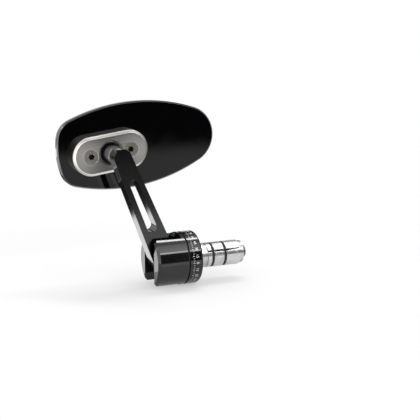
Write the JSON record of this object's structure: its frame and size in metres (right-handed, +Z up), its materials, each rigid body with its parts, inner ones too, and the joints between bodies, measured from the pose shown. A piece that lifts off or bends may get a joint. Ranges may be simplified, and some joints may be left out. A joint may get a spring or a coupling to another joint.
{
  "type": "bar end mirror",
  "caption": "Motorcycle bar end mirror: an oval head on a ball joint and windowed arm, folding in a forked round body with a bar clamp.",
  "frame": {"origin": "on the handlebar's axis, at the shoulder where the collar meets the end of the bar", "axes": "+X along the handlebar into the bar, +Y rearward toward the side the glass faces, +Z up"},
  "size_m": [0.1237, 0.0513, 0.1227],
  "materials": {
    "black_body": "polished black anodised",
    "black_collar": "satin black anodised with plain index marks",
    "black_arm": "satin black anodised",
    "black_spacer": "black anodised",
    "rubber": "matte",
    "black_steel": "black oxide",
    "blue_black_steel": "blue-black oxide",
    "dark_plastic": "dark bearing plastic",
    "polished_steel": "polished",
    "brushed_aluminium": "brushed, with bright bevels",
    "stainless_screw": "satin stainless",
    "gloss_black": "gloss black",
    "foam_tape": "foam tape",
    "mirror_glass": "silvered",
    "plain_steel": "plain",
    "zinc_steel": "zinc plated",
    "plain_aluminium": "turned, plain"
  },
  "bodies": {
    "bar_clamp": {"clamp_bolt": "plain_steel", "bolt_washer": "zinc_steel", "bar_sleeve": "plain_aluminium", "thrust_washer": "zinc_steel", "jaw_band_near": "rubber", "jaw_band_far": "rubber"},
    "fork": {"fork_body": "black_body", "collar_ring": "black_collar", "rubber_ring_outer": "rubber", "rubber_ring_inner": "rubber", "pivot_screw": "black_steel", "spacer_front": "black_spacer", "spacer_rear": "black_spacer", "washer_front": "dark_plastic", "washer_rear": "dark_plastic", "stop_screw": "blue_black_steel"},
    "arm": {"arm": "black_arm", "ball_stud": "polished_steel"},
    "front_liner": {"ball_liner_front": "dark_plastic"},
    "rear_liner": {"ball_liner_rear": "dark_plastic"},
    "head": {"clamp_plate": "brushed_aluminium", "plate_screw_left": "stainless_screw", "plate_screw_right": "stainless_screw", "mirror_shell": "gloss_black", "glass_pad": "foam_tape", "mirror_glass": "mirror_glass"},
    "nut": {"cone_nut": "zinc_steel"},
    "top_jaw": {"jaw_top": "plain_aluminium"},
    "front_jaw": {"jaw_front": "plain_aluminium"},
    "rear_jaw": {"jaw_rear": "plain_aluminium"}
  },
  "joints": [
    {"name": "bar_turn", "type": "hinge", "parent": "bar_clamp", "child": "fork", "pos_m": [0, 0, 0], "axis": [1, 0, 0], "continuous": true},
    {"name": "arm_fold", "type": "hinge", "parent": "fork", "child": "arm", "pos_m": [-0.0221, 0, 0], "axis": [0, 1, 0], "range_deg": [-65, 0.5]},
    {"name": "ball_pan", "type": "hinge", "parent": "arm", "child": "front_liner", "pos_m": [-0.05112, 0.023, 0.07165], "axis": [0, 0, 1], "range_deg": [-12, 12]},
    {"name": "ball_tilt", "type": "hinge", "parent": "front_liner", "child": "rear_liner", "pos_m": [-0.05112, 0.023, 0.07165], "axis": [1, 0, 0], "range_deg": [-12, 12]},
    {"name": "ball_spin", "type": "hinge", "parent": "rear_liner", "child": "head", "pos_m": [-0.05112, 0.023, 0.07165], "axis": [0, 1, 0], "range_deg": [-30, 30]},
    {"name": "nut_draw", "type": "slide", "parent": "bar_clamp", "child": "nut", "axis": [-1, 0, 0], "range_m": [0, 0.001]},
    {"name": "jaw_top_out", "type": "slide", "parent": "bar_clamp", "child": "top_jaw", "axis": [0, 0, 1], "range_m": [0, 0.0005]},
    {"name": "jaw_front_out", "type": "slide", "parent": "bar_clamp", "child": "front_jaw", "axis": [0, -0.866, -0.5], "range_m": [0, 0.0005]},
    {"name": "jaw_rear_out", "type": "slide", "parent": "bar_clamp", "child": "rear_jaw", "axis": [0, 0.866, -0.5], "range_m": [0, 0.0005]}
  ],
  "couplings": [
    {"joint": "jaw_top_out", "follows": "nut_draw", "ratio": 0.5},
    {"joint": "jaw_front_out", "follows": "nut_draw", "ratio": 0.5},
    {"joint": "jaw_rear_out", "follows": "nut_draw", "ratio": 0.5}
  ]
}
